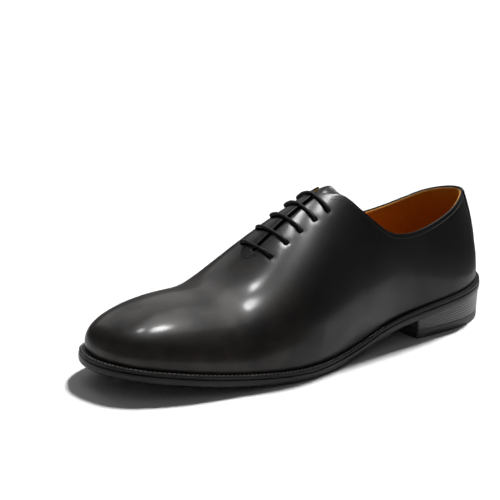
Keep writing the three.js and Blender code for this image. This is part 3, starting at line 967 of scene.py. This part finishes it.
def make_welt():
    top, round_edge = SEAT_HEIGHT, 0.55
    bottom = SEAT_HEIGHT - WELT_THICKNESS
    profile = [(WELT_RECESS + 0.1, lambda z: z + bottom), (WELT_RECESS, lambda z: z + bottom + 0.1)]
    for angle in np.linspace(0, 90, 6):
        bend = radians(angle)
        profile.append((WELT_RECESS + round_edge * (1 - cos(bend)),
                        lambda z, bend=bend: z + top - round_edge + round_edge * sin(bend)))
    inner = lambda turns: on_round(ROUNDS["margin"], turns) + WELT_UNDER
    profile += [(inner, lambda z: z + top), (inner, lambda z: z + bottom)]
    skin = Skin()
    skin.grid(swept(profile, SOLE_TURNS), round_first=True, round_second=True)
    piece("welt_leather", skin.mesh("welt_leather"), edge_ink(), ["welt"], 45)


def tread(z):
    return np.maximum(0, z)


def make_outsole():
    top = OUTSOLE_THICKNESS
    profile = [
        (5.2, tread),
        (4.9, lambda z: tread(z) + 0.3),
        (4.5, lambda z: tread(z) + 0.3),
        (4.2, tread),
        (0.75, tread),
        (0.35, lambda z: tread(z) + 0.12),
        (0.12, lambda z: tread(z) + 0.4),
        (0.02, lambda z: tread(z) + 0.9),
        (0.0, lambda z: (tread(z) + z + top) / 2),
        (0.0, lambda z: z + top - 0.25),
        (0.08, lambda z: z + top - 0.05),
        (0.3, lambda z: z + top),
    ]
    rings = swept(profile, SOLE_TURNS)
    skin = Skin()
    skin.grid(rings, round_first=True)
    lid(skin, rings[:, 0], 17, tread, True)
    lid(skin, rings[:, -1], 17, lambda z: z + top, False)
    piece("outsole_leather", skin.mesh("outsole_leather"), sole_leather(), ["outsole"], 45)


BREAST_TURN = float(first_where(
    np.array(0.0),
    np.array(float(TOE_TURN)),
    lambda turn: outline(turn, 0)[..., 1] > HEEL_LENGTH,
))


def heel_ring(inset, height, breast=14, corner=0.9):
    """A ring of the heel's outline with a straight breast and softened corners."""
    side = np.linspace(0, BREAST_TURN, 91)
    outer = outline(side, HEEL_INSET + inset)
    inner = outline(TURNS - side, HEEL_INSET + inset)
    front = HEEL_LENGTH - inset
    rows = []
    for line in (outer, inner):
        keep = line[line[:, 1] < front - corner]
        rows.append(keep)
    edge_out, edge_in = rows[0][-1], rows[1][-1]
    left = np.array((edge_out[0] + corner, front, 0.0))
    right = np.array((edge_in[0] - corner, front, 0.0))
    shares = np.linspace(0, 1, breast + 1)[:, None]
    middle = left * (1 - shares) + right * shares
    bend_out = (edge_out + left) / 2 + np.array((-0.22 * corner, 0.22 * corner, 0))
    bend_in = (edge_in + right) / 2 + np.array((0.22 * corner, 0.22 * corner, 0))
    ring = np.concatenate([rows[0], bend_out[None], middle, bend_in[None], rows[1][::-1][:-1]])
    ring[:, 2] = height(under(ring[:, 1]))
    return ring


def same_count(rings):
    """Rings resampled to the same number of points by their length."""
    count = 260
    out = []
    for ring in rings:
        loop = np.vstack([ring, ring[:1]])
        at = np.concatenate([[0], np.cumsum(np.linalg.norm(np.diff(loop[:, :2], axis=0), axis=-1))])
        places = np.linspace(0, at[-1], count + 1)[:-1]
        out.append(np.stack([np.interp(places, at, loop[:, k]) for k in range(3)], axis=-1))
    return np.stack(out, axis=1)


def make_heel():
    foot = TOP_PIECE_THICKNESS + CLEARANCE / 2
    steps = []
    side = ((0.0, LIFT_GROOVE), (0.05, 0.05), (0.1, 0.0), (0.5, 0.0), (0.9, 0.0), (0.95, 0.05))
    for lift in range(HEEL_LIFTS):
        for share, inset in side:
            steps.append(((lift + share) / HEEL_LIFTS, inset))
    steps.append((1.0, LIFT_GROOVE))
    rings = [heel_ring(inset, lambda z, share=share: foot + (z - 0.05 - foot) * share)
             for share, inset in steps]
    skin = Skin()
    skin.grid(same_count(rings), round_first=True)
    for ring in (rings[0], rings[-1]):
        skin.cap(same_count([ring])[:, 0])
    piece("heel_lifts", skin.mesh("heel_lifts"), lift_leather(), ["heel"], 60)


def make_top_piece():
    top = TOP_PIECE_THICKNESS
    rows = ((0.55, 0.0), (0.18, 0.12), (0.0, 0.5), (0.0, top - 0.4), (0.15, top))
    rings = [heel_ring(inset, lambda z, height=height: z * 0 + height) for inset, height in rows]
    skin = Skin()
    skin.grid(same_count(rings), round_first=True)
    for ring in (rings[0], rings[-1]):
        skin.cap(same_count([ring])[:, 0])
    piece("heel_top_piece", skin.mesh("heel_top_piece"), rubber(), ["top_piece"], 45)


def bar_path(row):
    """One lace bar through both holes of a row; each point ends with its radius."""
    along = EYELET_ROWS[row]
    (left, left_out), (right, right_out) = EYELETS[row]

    def dive(seat, out, way):
        level = unit(way - out * (way @ out))
        points = [(*(seat - out * (LEATHER_WALL + 0.2)), 1.1), (*(seat - out * 1.0), 1.35)]
        for angle in (5, 35, 65):
            bend = radians(angle)
            rise = LACE_END_RADIUS - LACE_BEND * (1 - sin(bend))
            place = seat + out * rise + level * LACE_BEND * (1 - cos(bend))
            points.append((*place, LACE_END_RADIUS))
        return points

    reaches = np.array((-9.2, -6.5, -4.0, -1.6, 1.6, 4.0, 6.5, 9.2))
    turn, share = ridge_place(along, reaches)
    f = (reaches + EYELET_SPREAD) / (2 * EYELET_SPREAD)
    turn, share = below(left[0] + (right[0] - left[0]) * f, left[1] + (right[1] - left[1]) * f, turn, share)
    radius = LACE_RADIUS + (LACE_END_RADIUS - LACE_RADIUS) * np.clip((np.abs(reaches) - 5) / 6, 0, 1)
    middle = lifted(turn, share, radius + 0.05)
    bar = [(*point, size) for point, size in zip(middle, radius)]
    inward = np.array((1.0, 0, 0))
    return dive(left, left_out, inward) + bar + dive(right, right_out, -inward)[::-1]


def smooth_path(points, step):
    """A rounder path through the points, stepped evenly by its length."""
    points = np.array(points)
    before = np.vstack([points[:1], points[:-1]])
    after = np.vstack([points[1:], points[-1:]])
    slope = (after - before) / 2
    fine = []
    for i in range(len(points) - 1):
        f = np.linspace(0, 1, 12, endpoint=False)[:, None]
        fine.append(points[i] * (2 * f**3 - 3 * f**2 + 1) + slope[i] * (f**3 - 2 * f**2 + f)
                    + points[i + 1] * (3 * f**2 - 2 * f**3) + slope[i + 1] * (f**3 - f**2))
    fine = np.vstack([*fine, points[-1:]])
    at = lengths(fine)
    places = np.linspace(0, at[-1], max(int(at[-1] / step), 2) + 1)
    return np.stack([np.interp(places, at, fine[:, k]) for k in range(fine.shape[1])], axis=-1)


def lengths(path):
    """How far along the path each of its points lies."""
    return np.concatenate([[0], np.cumsum(np.linalg.norm(np.diff(path[:, :3], axis=0), axis=-1))])


def hidden_run(row_from, row_to, side):
    """The lace's way under the facing from one eyelet to another of the same side."""
    start, end = EYELET_ROWS[row_from], EYELET_ROWS[row_to]
    reach = EYELET_SPREAD * (-1 if side == 0 else 1)
    turn, share = ridge_place(start + (end - start) * np.linspace(0.2, 0.8, 7), reach)
    return [(*point, 0.9) for point in lifted(turn, share, -LEATHER_WALL - 1.0)]


def tube(path, sides=14):
    """A round tube along a path whose points end with a radius; its frame is carried along without twist."""
    line, radius = path[:, :3], path[:, 3]
    ahead = unit(np.vstack([line[1:2] - line[:1], line[2:] - line[:-2], line[-1:] - line[-2:-1]]))
    across = unit(np.cross(ahead[0], (0.3, 0.2, 1.0)))
    rings = []
    angles = np.arange(sides) * 2 * pi / sides
    for point, way, size in zip(line, ahead, radius):
        across = unit(across - way * (across @ way))
        other = np.cross(way, across)
        rings.append(point + size * (np.cos(angles)[:, None] * across + np.sin(angles)[:, None] * other))
    return np.stack(rings)


def make_lace():
    bars = [bar_path(row) for row in range(len(EYELET_ROWS))]
    path = [*bars[1], *hidden_run(1, 3, 1), *bars[3][::-1], *hidden_run(3, 4, 0), *bars[4],
            *hidden_run(4, 2, 1), *bars[2][::-1], *hidden_run(2, 0, 0), *bars[0]]
    path = smooth_path(path, 0.5)
    rings = tube(path)
    skin = Skin()
    skin.grid(rings, round_second=True)
    skin.cap(rings[0])
    skin.cap(rings[-1][::-1])
    made = skin.mesh("lace")
    wound = made.uv_layers.new(name="lace")
    at, sides = lengths(path), rings.shape[1]
    for loop in made.loops:
        ring, side = divmod(loop.vertex_index, sides)
        wound.data[loop.index].uv = (at[min(ring, len(at) - 1)] / 2.4, side / sides)
    piece("lace", made, waxed_lace(), [f"lace_bar_{i + 1}" for i in range(len(EYELET_ROWS))], 60)


def stitch_line(turn, share, lift, pitch, length=0.72, width=0.5, height=0.26):
    """Stitches along places on the last; length is a share of the pitch."""
    return thread(lifted(turn, share, lift), last_normal(turn, share), pitch, pitch * length, width, height)


def collar_stitches():
    turns = np.linspace(-corner_turn(RIM) + 0.1, corner_turn(RIM) - 0.1, 500)
    return stitch_line(turns, collar_share(turns, 3.0), 0.02, 2.2)


def facing_stitches():
    rows = np.linspace(0.462, 0.624, 90)
    reach = SLIT_WIDTH / 2 + 1.9
    return [stitch_line(*ridge_place(rows, side * reach), 0.0, 1.6, 0.7, 0.4, 0.2) for side in (-1, 1)]


def bartack():
    """The crescent of close stitches that keeps the slit from tearing."""
    rows = []
    for radius, pitch in ((5.1, 0.9), (6.3, 0.9)):
        angles = np.radians(np.linspace(2, 158, 60))
        x, y = 4.6 + radius * np.cos(angles), 187.3 + radius * np.sin(angles)
        turn, share = ridge_place(y / SOLE_LENGTH - 0.012, x - 3.2)
        rows.append(stitch_line(*below(x, y, turn, share), 0.12, pitch, 0.8, 0.55, 0.35))
    return rows


def strip_stitches():
    turn, share = strip_grid()
    return [stitch_line(turn[4:-4, k], share[4:-4, k], STRIP_THICKNESS, 2.2) for k in (6, -7)]


def tongue_stitches():
    (turn, share), fall = tongue_grid()
    row = int(np.argmin(np.abs(fall - 0.045)))
    return stitch_line(turn[row, 6:-6], share[row, 6:-6], -LEATHER_WALL - TONGUE_GAP + 0.35, 2.0)


def make_seams():
    skins = [collar_stitches(), *facing_stitches(), *bartack(), *strip_stitches(), tongue_stitches()]
    made = joined(skins).mesh("upper_stitches", 0.0005)
    piece("upper_stitches", made, thread_finish("black thread", (0.012, 0.011, 0.011), 0.45))


def make_welt_stitches():
    turns = np.linspace(4.3, TURNS - 4.6, 900)
    path = outline(turns, WELT_RECESS + 1.0)
    path[:, 2] += SEAT_HEIGHT - 0.08
    up = np.tile((0.0, 0.0, 1.0), (len(path), 1))
    made = thread(path, up, 2.7, 2.0, 0.8, 0.42).mesh("welt_stitches", 0.0005)
    # The thread's pale colour is a painted glint: it makes the stitches show as light dots though they lie in
    # the upper's shadow.
    piece("welt_stitches", made, thread_finish("waxed welt thread", (0.5, 0.47, 0.45), 0.4))


# Stage

FLOOR_NEAR = 0.26
FLOOR_FAR = 6.0


def floor_ring(inner, outer):
    """Points, edges and faces of a flat square on the floor, or of the frame round a smaller one."""
    corners = ((-1, -1), (1, -1), (1, 1), (-1, 1))
    points = [(x * outer, y * outer, 0) for x, y in corners]
    if not inner:
        return points, [], [(0, 1, 2, 3)]
    points += [(x * inner, y * inner, 0) for x, y in corners]
    return points, [], [(i, (i + 1) % 4, 4 + (i + 1) % 4, 4 + i) for i in range(4)]


def make_stage():
    look = bpy.context.scene.shoe_stage
    paper = studio_floor()
    floors = (("studio_floor", 0.0, FLOOR_NEAR), ("studio_floor_far", FLOOR_NEAR, FLOOR_FAR))
    for name, inner, outer in floors:
        made = bpy.data.meshes.new(name)
        made.from_pydata(*floor_ring(inner, outer))
        made.materials.append(paper)
        floor = bpy.data.objects.new(name, made)
        floor.visible_glossy = inner == 0
        bpy.context.scene.collection.objects.link(floor)

    world = bpy.data.worlds.new("studio air")
    world.use_nodes = True
    sky = world.node_tree.nodes["Background"]
    sky.inputs["Color"].default_value = (1, 1, 1, 1)
    sky.inputs["Strength"].default_value = look.air
    bpy.context.scene.world = world

    bpy.context.scene.view_settings.view_transform = "Standard"
    key = light("key_lamp", "SUN", look.key, (0.25, -0.58, 0.78), (0, 0, 0),
                angle=radians(look.key_spread))
    key.visible_glossy = False
    for name, share, place, spread in (
        ("vamp_shine", 1, (0.09, -0.17, 0.98), 11),
        ("toe_shine", 0.36, (0.31, 0.0, 0.95), 6),
        ("soft_shine", 0.45, (0.16, -0.38, 0.92), 44),
    ):
        shine = light(name, "SUN", look.shine * share, place, (0, 0, 0), angle=radians(spread))
        shine.visible_diffuse = False
    light("far_softbox", "AREA", look.far, (1.1, -0.45, 0.85), (0, 0.04, 0.04),
          shape="RECTANGLE", size=1.3, size_y=0.7)
    make_camera()


def light(name, kind, strength, place, aim, **settings):
    lamp = bpy.data.lights.new(name, kind)
    lamp.energy = strength
    for key, value in settings.items():
        setattr(lamp, key, value)
    shown = bpy.data.objects.new(name, lamp)
    shown.location = place
    shown.rotation_mode = "QUATERNION"
    shown.rotation_quaternion = (Vector(aim) - Vector(place)).to_track_quat("-Z", "Y")
    bpy.context.scene.collection.objects.link(shown)
    return shown


def make_camera():
    """The camera that was fitted to the sole, heel and collar lines of the photograph."""
    azimuth, elevation, roll = radians(227.44), radians(16.2), radians(3.34)
    target = Vector((0.00135, 0.04234, 0.06618))
    distance = 1.2005
    back = Vector((sin(azimuth) * cos(elevation), -cos(azimuth) * cos(elevation), sin(elevation)))
    right = Vector((cos(azimuth), sin(azimuth), 0))
    up = back.cross(right)
    across = right * cos(roll) + up * sin(roll)
    upright = up * cos(roll) - right * sin(roll)
    lens = bpy.data.cameras.new("photo_camera")
    lens.lens, lens.sensor_width = 148.28, 36
    lens.clip_start, lens.clip_end = 0.05, 40
    camera = bpy.data.objects.new("photo_camera", lens)
    turned = Matrix((across, upright, back)).transposed().to_4x4()
    camera.matrix_world = Matrix.Translation(target + back * distance) @ turned
    bpy.context.scene.collection.objects.link(camera)
    bpy.context.scene.camera = camera


# Settings, operators and panel

def tint(name, description, default):
    """A colour setting."""
    return bpy.props.FloatVectorProperty(name=name, description=description, default=default,
                                         subtype="COLOR", min=0, max=1)


def amount(name, description, default, high=100.0, **kind):
    """A number setting."""
    return bpy.props.FloatProperty(name=name, description=description, default=default,
                                   min=0, max=high, **kind)


class ShoeColours(bpy.types.PropertyGroup):
    """Colours and gloss that a user would change."""

    calf: tint("Calf", "The black of the upper", (0.0085, 0.0080, 0.0080))
    # The brown cast on the toe and vamp: partly burnish, partly painted sheen.
    calf_burnish_sheen: tint("Calf cast", "The polished toe and vamp", (0.026, 0.021, 0.018))
    calf_roughness: amount("Calf roughness", "Gloss of the upper; lower is glossier", 0.42, 1,
                           subtype="FACTOR")
    lining: tint("Lining", "The tan of the quarter lining", (1.0, 0.46, 0.03))
    lining_shade: tint("Lining shade", "Its darker patches", (0.78, 0.33, 0.015))
    counter: tint("Counter lining", "The brown round the heel", (0.62, 0.24, 0.01))


class ShoeStage(bpy.types.PropertyGroup):
    """Floor and light."""

    floor_shade: amount("Floor", "How pale the floor is", 0.92, 1, subtype="FACTOR")
    air: amount("Air", "Light from all round", 0.08)
    key: amount("Key light", "The lamp that casts the shadow", 4.6)
    key_spread: amount("Key spread", "How wide the key lamp looks, in degrees", 7)
    shine: amount("Shine", "The lamps that only make highlights", 2.5)
    far: amount("Far light", "The lamp beyond the shoe", 3.2, unit="POWER")


class Maker:
    """What the operators share: each makes its group of pieces."""

    bl_options = {"REGISTER", "UNDO"}

    def execute(self, context):
        for make in self.makes:
            make()
        return {"FINISHED"}


class SHOE_OT_upper(Maker, bpy.types.Operator):
    """Make the black calf upper with its rolled edges and eyelets"""

    bl_idname = "shoe.upper"
    bl_label = "Upper"
    makes = (make_upper,)


class SHOE_OT_linings(Maker, bpy.types.Operator):
    """Make the tan lining and the brown counter lining"""

    bl_idname = "shoe.linings"
    bl_label = "Linings"
    makes = (make_lining, make_counter_lining)


class SHOE_OT_tongue(Maker, bpy.types.Operator):
    """Make the tongue under the facings"""

    bl_idname = "shoe.tongue"
    bl_label = "Tongue"
    makes = (make_tongue,)


class SHOE_OT_sock(Maker, bpy.types.Operator):
    """Make the leather sock over the insole"""

    bl_idname = "shoe.sock"
    bl_label = "Sock"
    makes = (make_sock,)


class SHOE_OT_back_strip(Maker, bpy.types.Operator):
    """Make the strip over the back seam"""

    bl_idname = "shoe.back_strip"
    bl_label = "Back strip"
    makes = (make_back_strip,)


class SHOE_OT_welt(Maker, bpy.types.Operator):
    """Make the welt and its stitches"""

    bl_idname = "shoe.welt"
    bl_label = "Welt"
    makes = (make_welt, make_welt_stitches)


class SHOE_OT_outsole(Maker, bpy.types.Operator):
    """Make the leather outsole"""

    bl_idname = "shoe.outsole"
    bl_label = "Outsole"
    makes = (make_outsole,)


class SHOE_OT_heel(Maker, bpy.types.Operator):
    """Make the stacked heel and its rubber top piece"""

    bl_idname = "shoe.heel"
    bl_label = "Heel"
    makes = (make_heel, make_top_piece)


class SHOE_OT_lace(Maker, bpy.types.Operator):
    """Run the lace through the eyelets"""

    bl_idname = "shoe.lace"
    bl_label = "Lace"
    makes = (make_lace,)


class SHOE_OT_seams(Maker, bpy.types.Operator):
    """Sew the rows of stitches on the upper"""

    bl_idname = "shoe.seams"
    bl_label = "Seams"
    makes = (make_seams,)


class SHOE_OT_stage(Maker, bpy.types.Operator):
    """Make the floor, lamps and camera"""

    bl_idname = "shoe.stage"
    bl_label = "Stage"
    makes = (make_stage,)


OPERATORS = (
    SHOE_OT_upper,
    SHOE_OT_linings,
    SHOE_OT_tongue,
    SHOE_OT_sock,
    SHOE_OT_back_strip,
    SHOE_OT_welt,
    SHOE_OT_outsole,
    SHOE_OT_heel,
    SHOE_OT_lace,
    SHOE_OT_seams,
    SHOE_OT_stage,
)


class SHOE_PT_panel(bpy.types.Panel):
    """The shoe's pieces, colours and light."""

    bl_idname = "SHOE_PT_panel"
    bl_label = "Leather oxford"
    bl_space_type = "VIEW_3D"
    bl_region_type = "UI"
    bl_category = "Shoe"

    def draw(self, context):
        for group in (context.scene.shoe_colours, context.scene.shoe_stage):
            for key in group.bl_rna.properties.keys():
                if key not in ("rna_type", "name"):
                    self.layout.prop(group, key)
        for operator in OPERATORS:
            self.layout.operator(operator.bl_idname)


CLASSES = (ShoeColours, ShoeStage, *OPERATORS, SHOE_PT_panel)


def register():
    for item in CLASSES:
        bpy.utils.register_class(item)
    bpy.types.Scene.shoe_colours = bpy.props.PointerProperty(type=ShoeColours)
    bpy.types.Scene.shoe_stage = bpy.props.PointerProperty(type=ShoeStage)


def unregister():
    del bpy.types.Scene.shoe_colours
    del bpy.types.Scene.shoe_stage
    for item in reversed(CLASSES):
        bpy.utils.unregister_class(item)


def main():
    register()
    for operator in OPERATORS:
        group, name = operator.bl_idname.split(".")
        getattr(getattr(bpy.ops, group), name)()


if __name__ == "__main__":
    main()
